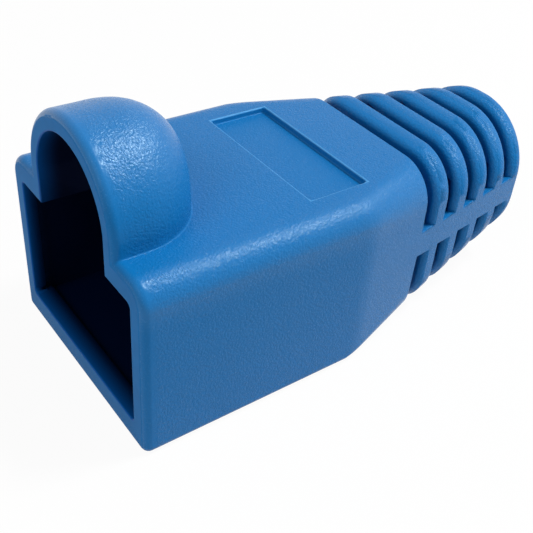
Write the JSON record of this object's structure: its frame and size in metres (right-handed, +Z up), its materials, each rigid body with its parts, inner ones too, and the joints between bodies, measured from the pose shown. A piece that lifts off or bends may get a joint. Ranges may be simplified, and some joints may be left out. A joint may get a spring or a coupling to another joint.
{
  "type": "rj45 strain relief boot",
  "caption": "Slip-on strain relief boot for a modular network plug: box-shaped plug pocket with a domed latch hood, tapering to a slotted flexible cable neck.",
  "frame": {"origin": "middle of the footprint, on the flat underside the boot lies on", "axes": "+Y towards the cable end along the boot's length, -Y out of the plug mouth, +Z up through the latch hood, +X across the boot"},
  "size_m": [0.0144, 0.0298, 0.016],
  "materials": {
    "soft_pvc": "fine leather grain, satin"
  },
  "bodies": {
    "root": {"boot": "soft_pvc"}
  },
  "joints": []
}
